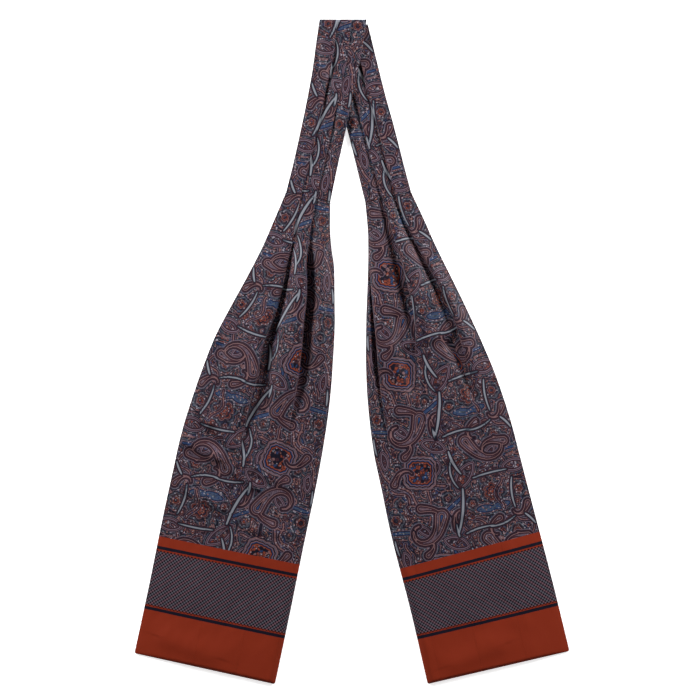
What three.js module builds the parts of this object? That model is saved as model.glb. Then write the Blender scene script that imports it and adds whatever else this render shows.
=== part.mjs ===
// Silk cravat laid flat: two wide blades below a narrow pleated neckband that is folded in half.
// Millimetres, +Z up. +Y runs from the hems to the fold behind the neck, +X to the right.
import * as THREE from 'three';

// Driving sizes
const BLADE_LENGTH = 466;
const CLOTH = 1;
const GAP = 0.3;
const NECK_FOLD_Y = 321;
const LEFT_SEAM = { x: -41.5, y: 149.5, tilt: -12.45 };
const RIGHT_SEAM = { x: 35.2, y: 149.2, tilt: 13.1 };

// Rolled edges of a blade: height of the side, widths of the rounding, and the lip that turns under
const EDGE = { height: 1.3, round: 5, hemRound: 6, cornerRadius: 4 };
const LIP = { outer: 0.5, inner: 2.1, top: 1.6, blend: 12, hem: 2.4, hemInner: 1.2 };
const BACK_INSET = LIP.inner + GAP;

// The stack of folded layers in the neckband, and how the upper stretch comes off the lower one
const BAND = { low: 2.4, high: 3.4, lap: 1, round: 1.6, shoulder: 1.9, ramp: 12, clear: 0.8 };
const BAND_LAYERS = [[0.9, 1.5], [0.3, 0.9], [1, 0]];
const BAND_LIFT = BAND.high + GAP;
const STACK = BAND_LIFT + BAND.high;
const LOWER_BAND_END = NECK_FOLD_Y - STACK / 2 - 1.2;

// Left blade. s runs from the neck seam to the hem, edges and fold edges are places across the
// blade, crests and valleys are heights. Each fold edge lies over the strip on its right.
const LEFT_ROWS = table(
  ['s', 'edge0', 'fold1', 'fold2', 'edge1', 'crest1', 'crest2', 'ridge', 'valley1', 'valley2', 'lap'],
  [
    [0, -22.3, -8.8, 6.2, 21.4, 3.4, 3.4, 3.4, 2.4, 2.4, 1],
    [28, -27.6, -9.8, 5.6, 27.5, 4.6, 5.2, 5, 2.6, 2.6, 2.5],
    [58, -33.5, -11.4, 4.6, 37.7, 6, 8.4, 8.6, 2.9, 2.6, 4],
    [90, -42, -13.7, 9, 45.6, 6.8, 10, 10.6, 3, 2.6, 5],
    [118, -50.3, -17.6, 13.8, 51.9, 7.8, 10.4, 11, 2.8, 2.6, 5.5],
    [150, -59, -20.2, 19, 57.2, 9.2, 10.6, 10.2, 2.6, 2.6, 6],
    [182, -64.2, -19.2, 22, 61.8, 8.4, 8.4, 8, 3, 3.4, 7],
    [215, -68.2, -20.4, 22.4, 64.8, 6, 6, 6.2, 4, 4.2, 8],
    [250, -70.9, -19.4, 22.5, 66.6, 4.9, 4.9, 5.2, 4.4, 4.6, 8],
    [330, -70.9, -20, 22.5, 67.8, 4.4, 4.4, 4.6, 4.3, 4.3, 8],
    [400, -69.7, -20, 22.5, 69, 4.2, 4.2, 4.2, 4.1, 4.1, 8],
    [BLADE_LENGTH, -69.3, -20, 22.5, 69.6, 4.2, 4.2, 4.2, 4.1, 4.1, 8],
  ],
);

// Right blade. Its fold edges lie over the strip on their left, so it is described in mirror
// image: edge0 is its right edge.
const RIGHT_ROWS = table(
  ['s', 'edge0', 'fold1', 'fold2', 'fold3', 'edge1', 'crest1', 'crest2', 'crest3', 'ridge',
    'valley1', 'valley2', 'valley3', 'lap'],
  [
    [0, -22.8, -8.4, 4.2, 20.2, 22.6, 3.4, 3.4, 3.4, 2.8, 2.4, 2.4, 2.4, 1],
    [28, -28.8, -13.4, 2.4, 24.2, 26.6, 4.8, 5.2, 3.8, 3, 2.6, 2.6, 2.6, 2],
    [55, -34, -19.6, -1.1, 29.4, 32.6, 7, 7.6, 5, 3.6, 2.6, 2.6, 2.6, 2.6],
    [84, -40.8, -25.8, -0.2, 33.2, 40.2, 9.6, 8.8, 6.2, 4.6, 2.6, 2.7, 2.8, 4],
    [108, -46.4, -29.9, 2.2, 35.8, 46.8, 11, 7.6, 6.8, 5.4, 2.6, 3.4, 2.8, 5],
    [130, -51.2, -34.2, 5, 38, 52.2, 9.8, 5.8, 6.8, 5.6, 3, 4.4, 2.8, 5.5],
    [155, -56.3, -34.2, 7, 41.2, 58, 6.8, 5, 6.2, 5.4, 4, 4.6, 3.2, 6.5],
    [190, -62.2, -34.8, 7, 46.4, 64.2, 5.2, 4.6, 4.8, 4.8, 4.2, 4.4, 4, 8],
    [235, -66.4, -37, 7, 47.6, 69.2, 4.6, 4.4, 4.6, 4.6, 4.3, 4.3, 4.3, 8],
    [320, -68.6, -37, 7, 47.6, 71, 4.4, 4.3, 4.4, 4.4, 4.2, 4.2, 4.2, 8],
    [390, -70.5, -37, 7, 47.6, 69.3, 4.2, 4.2, 4.2, 4.2, 4.1, 4.1, 4.1, 8],
    [BLADE_LENGTH, -71.4, -37, 7, 47.6, 69.2, 4.2, 4.2, 4.2, 4.2, 4.1, 4.1, 4.1, 8],
  ],
);

// Soft creases from (x0, s0) to (x1, s1) on a blade: a low ridge, or a trough below height 0
const CREASE_NAMES = ['x0', 's0', 'x1', 's1', 'height', 'width'];
const LEFT_CREASES = table(CREASE_NAMES, [
  [-34, 105, -37, 135, -1.2, 4],
  [-50, 188, -51, 216, -1, 5],
  [4, 182, 6, 204, -1.2, 4],
  [-56, 250, 30, 262, -0.8, 9],
  [-30, 290, 52, 300, 0.8, 12],
  [-54, 446, 56, 452, 1.6, 7],
]);
const RIGHT_CREASES = table(CREASE_NAMES, [
  [-14, 106, -22, 132, -2.2, 5],
  [-22, 132, -26, 184, -1.2, 6],
  [-50, 192, -47, 268, -1, 6],
  [-20, 240, 50, 232, 0.7, 12],
  [-52, 455, 58, 450, 1.6, 7],
]);

// Neckband: its two rails and, as shares of its width, its fold edges, from seam to neck fold
const BAND_NAMES = ['x0', 'y0', 'x1', 'y1', 'fold1', 'fold2'];
const UPPER_BAND_ROWS = table(BAND_NAMES, [
  [...seamEnds(LEFT_SEAM, LEFT_ROWS[0].edge0, LEFT_ROWS[0].edge1), 0.31, 0.65],
  [-56.3, 182.3, -13, 181.4, 0.33, 0.66],
  [-49.2, 213.9, -5, 216.8, 0.34, 0.67],
  [-42.3, 247.3, 1.2, 248.4, 0.34, 0.67],
  [-36.8, 279.5, 8.2, 279.5, 0.37, 0.69],
  [-30.9, NECK_FOLD_Y, 14.5, NECK_FOLD_Y, 0.36, 0.66],
]);
const LOWER_BAND_ROWS = table(BAND_NAMES, [
  [...seamEnds(RIGHT_SEAM, -RIGHT_ROWS[0].edge1, -RIGHT_ROWS[0].edge0), 0.4, 0.68],
  [3.9, 182, 50, 182.4, 0.37, 0.67],
  [-4.8, 216.8, 41.2, 216.8, 0.36, 0.67],
  [-14.5, 252.5, 31.4, 252.5, 0.35, 0.66],
  [-29.8, LOWER_BAND_END, 15.7, LOWER_BAND_END, 0.36, 0.66],
]);

const PAISLEY = 0x433a42;
const RUST = 0x7f2f1d;
const silk = (color) => new THREE.MeshStandardMaterial({ color, roughness: 0.42, metalness: 0 });

function table(names, rows) {
  return rows.map((row) => Object.fromEntries(names.map((name, i) => [name, row[i]])));
}

function clamp(value, low, high) {
  return Math.min(Math.max(value, low), high);
}

// Where the seam's two ends lie on the neckband's side of the gap
function seamEnds(seam, x0, x1) {
  const turn = THREE.MathUtils.degToRad(seam.tilt);
  const place = (x) => [
    seam.x + x * Math.cos(turn) - GAP * Math.sin(turn),
    seam.y + x * Math.sin(turn) + GAP * Math.cos(turn),
  ];
  return [...place(x0), ...place(x1)];
}

// Values of a table between its rows, on a smooth curve through them
function sample(rows, key, at) {
  const last = rows.length - 1;
  const found = rows.findIndex((row, k) => k < last && at <= rows[k + 1][key]);
  const i = found < 0 ? last - 1 : found;
  const [before, a, b, after] = [rows[Math.max(i - 1, 0)], rows[i], rows[i + 1], rows[Math.min(i + 2, last)]];
  const span = b[key] - a[key];
  const t = (at - a[key]) / span;
  const [t2, t3] = [t * t, t * t * t];
  const curve = (name) => {
    const slopeA = ((b[name] - before[name]) / (b[key] - before[key])) * span;
    const slopeB = ((after[name] - a[name]) / (after[key] - a[key])) * span;
    return a[name] * (2 * t3 - 3 * t2 + 1) + slopeA * (t3 - 2 * t2 + t)
      + b[name] * (3 * t2 - 2 * t3) + slopeB * (t3 - t2);
  };
  return Object.fromEntries(Object.keys(a).map((name) => [name, curve(name)]));
}

function quarterRound(share) {
  return Math.sqrt(1 - (1 - clamp(share, 0, 1)) ** 2);
}

// One section's fold edges and heights as lists, from a table's row
function sectionOf(row, folds) {
  const list = (name) => Array.from({ length: folds }, (_, i) => row[`${name}${i + 1}`]);
  return {
    lines: [row.edge0, ...list('fold'), row.edge1],
    crests: list('crest'),
    valleys: list('valley'),
    ridge: row.ridge,
    lap: row.lap,
  };
}

// Height across a section: a strip rises from its valley to its fold edge, then rolls down steeply
function foldHeight({ lines, crests, valleys, ridge, lap }, x) {
  const folds = crests.length;
  let strip = 0;
  while (strip < folds && x > lines[strip + 1] + lap) strip += 1;
  const start = strip === 0 ? lines[0] : lines[strip] + lap;
  const base = strip === 0 ? crests[0] * 0.75 : valleys[strip - 1];
  const across = (x - start) / (lines[strip + 1] - start);
  if (strip === folds) {
    return base + (ridge - base) * Math.sin(Math.PI * clamp(across / 1.1, 0, 1)) ** 0.7;
  }
  if (x > lines[strip + 1]) {
    const roll = Math.min((x - lines[strip + 1]) / lap, 1);
    return valleys[strip] + (crests[strip] - valleys[strip]) * Math.sqrt(1 - roll * roll);
  }
  return base + (crests[strip] - base) * (1 - (1 - across) ** 2.2);
}

// Columns across a section, closer together at its edges and on the rolled fold edges
function columns({ lines, lap }) {
  const folds = lines.length - 2;
  const xs = [];
  for (let strip = 0; strip <= folds; strip += 1) {
    const start = strip === 0 ? lines[0] : lines[strip] + lap;
    const width = lines[strip + 1] - start;
    const shares = strip === 0 ? [0, 0.03, 0.1, 0.3, 0.65] : [0, 0.12, 0.35, 0.7];
    if (strip === folds) shares.push(0.9, 0.97, 1);
    xs.push(...shares.map((share) => start + share * width));
    if (strip < folds) xs.push(...[0, 0.5, 0.85].map((share) => lines[strip + 1] + share * lap));
  }
  return xs;
}

function creaseHeight(creases, x, s) {
  return creases.reduce((sum, { x0, s0, x1, s1, height, width }) => {
    const [dx, ds] = [x1 - x0, s1 - s0];
    const along = clamp(((x - x0) * dx + (s - s0) * ds) / (dx * dx + ds * ds), 0, 1);
    const distance = Math.hypot(x - x0 - along * dx, s - s0 - along * ds);
    return sum + height * Math.exp(-((distance / width) ** 2));
  }, 0);
}

// A closed body through rings of equally many points, with both ends capped in the plane of x and z
function loft(rings) {
  const count = rings[0].length;
  const index = [];
  for (let a = 0; a < (rings.length - 1) * count; a += 1) {
    const b = (a + 1) % count === 0 ? a + 1 - count : a + 1;
    index.push(a, a + count, b, b, a + count, b + count);
  }
  const cap = (ring) => THREE.ShapeUtils.triangulateShape(ring.map((p) => new THREE.Vector2(p.x, p.z)), []);
  const end = (rings.length - 1) * count;
  for (const [a, b, c] of cap(rings[0])) index.push(a, c, b);
  for (const [a, b, c] of cap(rings[rings.length - 1])) index.push(end + a, end + b, end + c);
  const geometry = new THREE.BufferGeometry().setFromPoints(rings.flat()).setIndex(index);
  geometry.computeVertexNormals();
  return geometry;
}

// How far a blade's corner is rounded in at a place near the hem
function cornerInset(s) {
  const toHem = BLADE_LENGTH - s;
  if (toHem > EDGE.cornerRadius) return 0;
  return EDGE.cornerRadius * (1 - quarterRound(toHem / EDGE.cornerRadius));
}

// Front wall of a blade, whose rolled side edges and hem reach the surface that it lies on.
// facing is 1 where the fold edges face right, and -1 in mirror image.
function bladeFront(rows, folds, creases, facing) {
  const hemStart = BLADE_LENGTH - LIP.hem;
  const folded = Array.from({ length: 22 }, (_, i) => i * 11);
  const plain = [245, 275, 310, 345, 380, 410, 432, 445, 453];
  const hem = [459, hemStart, hemStart + GAP, BLADE_LENGTH - 0.9, BLADE_LENGTH];
  const rings = [...folded, ...plain, ...hem].map((s) => {
    const section = sectionOf(sample(rows, 's', s), folds);
    const [left, right] = [section.lines[0], section.lines[folds + 1]];
    const squeeze = 1 - (2 * cornerInset(s)) / (right - left);
    const top = (x) => {
      const side = quarterRound(Math.min(x - left, right - x) / EDGE.round);
      const body = foldHeight(section, x) + creaseHeight(creases, facing * x, s);
      const hemFall = quarterRound((BLADE_LENGTH - s) / EDGE.hemRound);
      return EDGE.height + (body - EDGE.height) * side * hemFall;
    };
    const onHem = s > hemStart;
    const under = (x) => {
      const near = [-1.6, -0.8, 0, 0.8, 1.6].map((step) => top(clamp(x + step, left, right)));
      return onHem ? 0 : Math.max(Math.min(...near) - CLOTH, CLOTH + GAP);
    };
    const inwards = (x) => x + LIP.top * Math.max(1 - (x - left) / LIP.blend, 0)
      - LIP.top * Math.max(1 - (right - x) / LIP.blend, 0);
    const lip = onHem ? LIP.hemInner : LIP.inner;
    const xs = columns(section);
    const ring = [
      ...xs.map((x) => [x, top(x)]),
      [right - LIP.outer, 0],
      [right - lip, 0],
      ...xs.map(inwards).reverse().map((x) => [x, under(x)]),
      [left + lip, 0],
      [left + LIP.outer, 0],
    ];
    return ring.map(([x, z]) => new THREE.Vector3(x * squeeze, -s, z));
  });
  if (facing > 0) return loft(rings);
  return loft(rings.map((ring) => ring.map((p) => new THREE.Vector3(-p.x, p.y, p.z)).reverse()));
}

// Back panel of a blade: flat cloth between the front wall's lips
function bladeBack(rows, facing) {
  const end = BLADE_LENGTH - LIP.hem - GAP;
  const corner = EDGE.cornerRadius - BACK_INSET + GAP;
  const stations = [...rows.slice(0, -1).map((row) => row.s), end - corner, end];
  const edge = (name, side) => stations.map((s) => {
    const inset = BACK_INSET + (s === end ? corner : 0);
    return new THREE.Vector2(facing * (sample(rows, 's', s)[name] + side * inset), -s);
  });
  const outline = [...edge('edge0', 1), ...edge('edge1', -1).reverse()];
  return new THREE.ExtrudeGeometry(new THREE.Shape(outline), { depth: CLOTH, bevelEnabled: false });
}

// Height of the upper stretch's underside: up on the lower stretch, and down on the surface beside it
function bandUnderside(x, y) {
  const lowerEdge = sample(LOWER_BAND_ROWS, 'y0', Math.min(y, LOWER_BAND_END)).x0;
  const share = clamp((x - lowerEdge + BAND.clear + BAND.ramp) / BAND.ramp, 0, 1);
  return BAND_LIFT * share * share * (3 - 2 * share);
}

// One ring of the neckband: shingled strips on top, and layers that show as a groove along its sides
function bandRing(rows, y0, facing, underside, squash) {
  const row = sample(rows, 'y0', y0);
  const width = Math.hypot(row.x1 - row.x0, row.y1 - row.y0);
  const folds = facing > 0 ? [row.fold1, row.fold2] : [1 - row.fold2, 1 - row.fold1];
  const section = {
    lines: [0, ...folds.map((share) => share * width), width],
    crests: [BAND.high, BAND.high],
    valleys: [BAND.low, BAND.low],
    ridge: BAND.high,
    lap: BAND.lap,
  };
  const top = (x) => BAND.shoulder
    + (foldHeight(section, x) - BAND.shoulder) * quarterRound(Math.min(x, width - x) / BAND.round);
  const bottom = Array.from({ length: 9 }, (_, i) => 1 + ((width - 2) * (8 - i)) / 8);
  const ring = [
    ...columns(section).map((x) => [x, top(x)]),
    ...BAND_LAYERS.slice(0, 2).map(([inset, z]) => [width - inset, z]),
    ...bottom.map((x) => [x, 0]),
    ...BAND_LAYERS.slice(0, 2).reverse().map(([inset, z]) => [inset, z]),
  ];
  const points = ring.map(([across, z]) => {
    const share = facing > 0 ? across / width : 1 - across / width;
    const x = row.x0 + (row.x1 - row.x0) * share;
    const y = row.y0 + (row.y1 - row.y0) * share;
    return new THREE.Vector3(x, y, squash(z, underside(x, y)));
  });
  return facing > 0 ? points : points.reverse();
}

// Stretch of the neckband that lies beneath, from the right blade's seam up to the neck fold
function lowerBand() {
  const start = LOWER_BAND_ROWS[0].y0;
  const steps = 14;
  const heights = Array.from({ length: steps + 1 }, (_, i) => start + ((LOWER_BAND_END - start) * i) / steps);
  return loft(heights.map((y) => bandRing(LOWER_BAND_ROWS, y, -1, () => 0, (z) => z)).reverse());
}

// Stretch that lies over it and turns down round its end at the neck fold
function upperBand() {
  const start = UPPER_BAND_ROWS[0].y0;
  const overEnd = LOWER_BAND_END + GAP;
  const steps = 20;
  const heights = Array.from({ length: steps + 1 }, (_, i) => start + ((overEnd - start) * i) / steps);
  const rings = heights.map((y) => bandRing(UPPER_BAND_ROWS, y, 1, bandUnderside, (z, low) => z + low));
  const radius = STACK / 2;
  const turn = (bulge) => (z) => {
    const whole = z < BAND.shoulder ? (z / BAND.shoulder) * (BAND_LIFT + BAND.shoulder) : BAND_LIFT + z;
    return radius + (whole - radius) * Math.sqrt(1 - bulge * bulge);
  };
  const foldStart = overEnd + GAP;
  rings.push(bandRing(UPPER_BAND_ROWS, foldStart, 1, () => 0, turn(0)));
  for (const bulge of [0.3, 0.6, 0.85, 0.97]) {
    const y = NECK_FOLD_Y - radius * (1 - bulge);
    rings.push(bandRing(UPPER_BAND_ROWS, y, 1, () => 0, turn(bulge)));
  }
  return loft(rings.reverse());
}

function piece(name, geometry, color) {
  const mesh = new THREE.Mesh(geometry, silk(color));
  mesh.name = name;
  return mesh;
}

function blade(side, seam, rows, folds, creases, facing) {
  const group = new THREE.Group();
  group.add(piece(`blade_${side}_front`, bladeFront(rows, folds, creases, facing), PAISLEY));
  group.add(piece(`blade_${side}_back`, bladeBack(rows, facing), RUST));
  group.position.set(seam.x, seam.y, 0);
  group.rotation.z = THREE.MathUtils.degToRad(seam.tilt);
  return group;
}

const laidOut = new THREE.Group();
laidOut.add(
  blade('left', LEFT_SEAM, LEFT_ROWS, 2, LEFT_CREASES, 1),
  blade('right', RIGHT_SEAM, RIGHT_ROWS, 3, RIGHT_CREASES, -1),
  piece('neckband_upper', upperBand(), PAISLEY),
  piece('neckband_lower', lowerBand(), PAISLEY),
);

// The origin is the centre of the underside's box
const box = new THREE.Box3().setFromObject(laidOut, true);
const centre = box.getCenter(new THREE.Vector3());
laidOut.position.set(-centre.x, -centre.y, -box.min.z);
const cravat = new THREE.Group();
cravat.add(laidOut);

export default cravat;
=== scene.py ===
"""Silk cravat laid flat: two wide blades below a pleated neckband that is folded in half."""

import math
from collections import namedtuple

import bpy
import numpy as np
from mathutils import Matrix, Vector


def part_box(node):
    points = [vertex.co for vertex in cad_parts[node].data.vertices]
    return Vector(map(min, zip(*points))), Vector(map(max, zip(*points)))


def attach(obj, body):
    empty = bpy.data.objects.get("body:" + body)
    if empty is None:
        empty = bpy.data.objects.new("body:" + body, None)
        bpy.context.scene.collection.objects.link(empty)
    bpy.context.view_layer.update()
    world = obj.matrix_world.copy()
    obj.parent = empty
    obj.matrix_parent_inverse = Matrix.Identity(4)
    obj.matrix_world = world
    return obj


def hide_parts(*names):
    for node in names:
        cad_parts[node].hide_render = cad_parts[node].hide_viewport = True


bl_info = {
    "name": "Silk cravat",
    "version": (1, 0, 0),
    "blender": (4, 5, 0),
    "location": "View3D > Sidebar > Cravat",
    "description": "Makes a printed silk cravat that lies flat, with its stitches and a stage",
    "category": "Add Mesh",
}

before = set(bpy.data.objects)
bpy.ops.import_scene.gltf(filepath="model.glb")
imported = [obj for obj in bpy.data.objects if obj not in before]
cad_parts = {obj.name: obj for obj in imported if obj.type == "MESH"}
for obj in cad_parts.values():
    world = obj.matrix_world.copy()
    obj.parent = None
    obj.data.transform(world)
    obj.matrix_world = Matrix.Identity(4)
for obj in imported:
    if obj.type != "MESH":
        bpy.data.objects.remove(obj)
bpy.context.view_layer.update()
MM = 0.001

# The construction's sizes in millimetres
BLADE_LENGTH = 466.0
TUBE_WIDTH = 140.0
GAP, SEAM_GAP = 0.3, 0.06
NECK_FOLD_Y = 321.0
SEAMS = {"left": (-41.5, 149.5, -12.45), "right": (35.2, 149.2, 13.1)}
EDGE_HEIGHT, EDGE_SLOPE, HEM_ROUND, CORNER = 1.3, 8.0, 3.5, 2.0
BAND_HIGH, BAND_LAP, BAND_ROUND, BAND_SHOULDER = 3.4, 1.0, 1.6, 1.9
BAND_RAMP, BAND_CLEAR = 12.0, 0.8
BAND_LIFT = BAND_HIGH + GAP
STACK = BAND_LIFT + BAND_HIGH
LOWER_BAND_END = NECK_FOLD_Y - STACK / 2 - 1.2
NECK_LENGTH = 345.0


def table(names, rows):
    """Each row as a dictionary of its columns"""
    return [dict(zip(names.split(), row)) for row in rows]


# Left blade: places across it and heights, by distance s from the neck seam. Each fold edge lies
# over the strip on its right.
LEFT_ROWS = table("s edge0 fold1 fold2 edge1 crest1 crest2 ridge valley1 valley2 lap", [
    (0, -22.3, -8.8, 6.2, 21.4, 3.4, 3.4, 3.4, 2.2, 2.0, 1),
    (28, -27.6, -9.8, 5.2, 27.5, 4.2, 4.8, 4.8, 2.8, 2.6, 3),
    (46, -31, -10.2, 5.4, 33.2, 4.8, 6.4, 6.4, 2.8, 2.2, 4.2),
    (60, -34, -10.6, 6.4, 38.4, 5.6, 9.8, 8.4, 2.8, 1.2, 5),
    (90, -42, -10.8, 13, 45.6, 6.8, 10.6, 9.6, 2.4, 1.5, 5.5),
    (118, -50.3, -12.4, 16.4, 51.9, 7.8, 10.8, 9.6, 2, 1.5, 5.5),
    (150, -59, -18, 20, 57.2, 8.8, 10.4, 8.8, 1.6, 1.8, 6),
    (182, -64.2, -17.2, 22, 61.8, 8.8, 8.6, 7.4, 1.6, 2.8, 6.5),
    (215, -68.2, -19.4, 22.4, 64.8, 7.8, 6, 5.8, 2.2, 3.8, 7),
    (250, -70.9, -19.4, 22.5, 66.6, 5.8, 4.9, 5, 3.6, 4.5, 8),
    (285, -71, -19.8, 22.5, 67.4, 4.7, 4.5, 4.6, 4.3, 4.4, 8),
    (330, -70.9, -20, 22.5, 67.8, 4.4, 4.4, 4.4, 4.3, 4.3, 8),
    (400, -69.7, -20, 22.5, 69, 4.2, 4.2, 4.2, 4.1, 4.1, 8),
    (BLADE_LENGTH, -69.3, -20, 22.5, 69.6, 4.2, 4.2, 4.2, 4.1, 4.1, 8),
])
# Right blade, in mirror image: its fold edges lie over the strip on their left
RIGHT_ROWS = table("s edge0 fold1 fold2 fold3 edge1 crest1 crest2 crest3 ridge "
                   "valley1 valley2 valley3 lap", [
    (0, -22.8, -8.4, 4.2, 20.2, 22.6, 3.4, 3.4, 3.4, 2.8, 1.2, 1.2, 2.4, 1),
    (28, -28.8, -13.2, 1.8, 24, 26.6, 4.4, 5.4, 4.4, 3, 1.1, 1.2, 2.2, 2.2),
    (55, -34, -21, -1.6, 28.6, 32.6, 5.4, 7.6, 5.8, 3.4, 1.6, 1.6, 2, 3.6),
    (84, -40.8, -29.8, -3.4, 32, 40.2, 6.6, 8.4, 7, 4, 1.2, 1.5, 1.8, 4.4),
    (108, -46.4, -36.4, -4, 34.8, 46.8, 7.2, 8, 7.8, 4.6, 1.2, 1.7, 1.8, 5),
    (130, -51.2, -40.4, -2, 37.2, 52.2, 7.2, 7, 7.8, 5, 1.3, 2.8, 1.8, 5.4),
    (155, -56.3, -43, 3, 40.4, 58, 6.4, 5.6, 7.2, 5, 2, 3.8, 1.9, 6),
    (190, -62.2, -44.4, 6, 43.4, 64.2, 5.2, 4.8, 6.2, 4.8, 3.4, 4.3, 3.2, 7),
    (235, -66.4, -43, 7, 45, 69.2, 4.6, 4.4, 5, 4.6, 4.2, 4.3, 4, 8),
    (270, -67.4, -42, 7, 46, 70, 4.4, 4.3, 4.5, 4.4, 4.2, 4.2, 4.2, 8),
    (320, -68.6, -40, 7, 47, 71, 4.4, 4.3, 4.4, 4.4, 4.2, 4.2, 4.2, 8),
    (390, -70.5, -37, 7, 47.6, 69.3, 4.2, 4.2, 4.2, 4.2, 4.1, 4.1, 4.1, 8),
    (BLADE_LENGTH, -71.4, -37, 7, 47.6, 69.2, 4.2, 4.2, 4.2, 4.2, 4.1, 4.1, 4.1, 8),
])
# Soft creases on a blade, as low ridges or, below height 0, troughs, with the width of each slope:
# first the one on the left of the way from one end to the other, as seen from above
CREASE_NAMES = "x0 s0 x1 s1 height width_left width_right"
LEFT_CREASES = table(CREASE_NAMES, [
    (-30, 100, -37, 150, -1.0, 7, 7),
    (-52, 160, -47, 196, -1.6, 6, 6),
    (-4, 134, 5, 212, -2.2, 5, 5),
    (-65, 223, -46, 234, 2.1, 9, 4),
    (-46, 234, 4, 265, 1.9, 9, 4.2),
    (-67, 256, -32, 265, 2.1, 9, 4),
    (-32, 265, 7, 284, 1.8, 9, 4.2),
    (-56, 300, -19, 312, 1.7, 9, 4.2),
    (-2, 268, 42, 277, 1.4, 7, 4.4),
    (16, 325, 50, 322, 1.3, 7, 4.4),
    (-42, 446, 4, 452, 1.0, 13, 9),
])
RIGHT_CREASES = table(CREASE_NAMES, [
    (14, 112, 24, 150, -1.2, 6, 6),
    (26, 152, 38, 206, -2.8, 5, 5),
    (-20, 116, -19, 186, -2.4, 5, 5),
    (-14, 144, 28, 141, 1.5, 8, 4.4),
    (-42, 168, -44, 220, -1.6, 6, 6),
    (30, 250, 60, 300, -1.0, 8, 8),
    (-18, 262, 30, 256, 1.1, 8, 5),
    (-30, 318, 10, 312, 1.2, 8, 5),
    (-40, 452, 4, 446, 0.9, 12, 9),
])


def turned(degrees):
    """Cosine and sine of an angle"""
    return math.cos(math.radians(degrees)), math.sin(math.radians(degrees))


def seam_ends(side, x0, x1, gap):
    """Where a seam's two ends lie, moved up the neckband by the gap"""
    x, y, tilt = SEAMS[side]
    cos, sin = turned(tilt)
    return [c for a in (x0, x1) for c in (x + a * cos - gap * sin, y + a * sin + gap * cos)]


# Neckband rails, its fold edges as shares of its width, and the depth of the folds' valleys
BAND_NAMES = "x0 y0 x1 y1 fold1 fold2 valley1 valley2"
UPPER_BAND_ROWS = table(BAND_NAMES, [
    (*seam_ends("left", LEFT_ROWS[0]["edge0"], LEFT_ROWS[0]["edge1"], SEAM_GAP),
     0.31, 0.65, 2.2, 2.0),
    (-56.3, 182.3, -13, 181.4, 0.33, 0.66, 2.1, 1.7),
    (-49.2, 213.9, -5, 216.8, 0.34, 0.67, 1.9, 2.0),
    (-42.3, 247.3, 1.2, 248.4, 0.36, 0.67, 1.4, 2.3),
    (-38.2, 270, 6, 270, 0.37, 0.68, 0.9, 2.3),
    (-36.8, 279.5, 8.2, 279.5, 0.37, 0.69, 0.9, 2.3),
    (-34.6, 296, 10.8, 296, 0.37, 0.68, 1.8, 2.4),
    (-30.9, NECK_FOLD_Y, 14.5, NECK_FOLD_Y, 0.36, 0.66, 2.4, 2.4),
])
LOWER_BAND_ROWS = table(BAND_NAMES, [
    (*seam_ends("right", -RIGHT_ROWS[0]["edge1"], -RIGHT_ROWS[0]["edge0"], SEAM_GAP),
     0.4, 0.68, 1.2, 1.2),
    (3.9, 182, 50, 182.4, 0.37, 0.67, 1.5, 1.5),
    (-4.8, 216.8, 41.2, 216.8, 0.36, 0.67, 1.6, 1.7),
    (-14.5, 252.5, 31.4, 252.5, 0.35, 0.66, 1.9, 1.9),
    (-29.8, LOWER_BAND_END, 15.7, LOWER_BAND_END, 0.36, 0.66, 2.4, 2.4),
])
# The construction's middle is the frame's origin: the neck fold's right end shows the move. The
# CAD's fold ends short of its line by a share of its radius.
FOLD_SHORT = 0.03
NECK_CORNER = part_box("neckband_upper")[1]
SHIFT_X = NECK_CORNER.x / MM - UPPER_BAND_ROWS[-1]["x1"]
SHIFT_Y = NECK_CORNER.y / MM - NECK_FOLD_Y + FOLD_SHORT * STACK / 2


def metres(name, about, size, least):
    """A length in metres, for the panel"""
    return bpy.props.FloatProperty(
        name=name, description=about, default=size, min=least, unit="LENGTH")


def watts(name, about, amount):
    """A lamp's power, for the panel"""
    return bpy.props.FloatProperty(
        name=name, description=about, default=amount, min=0, unit="POWER")


def dye(name, about, color):
    """A colour as seen, for the panel"""
    return bpy.props.FloatVectorProperty(
        name=name, description=about, default=color, size=3, min=0, max=1, subtype="COLOR_GAMMA")


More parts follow.
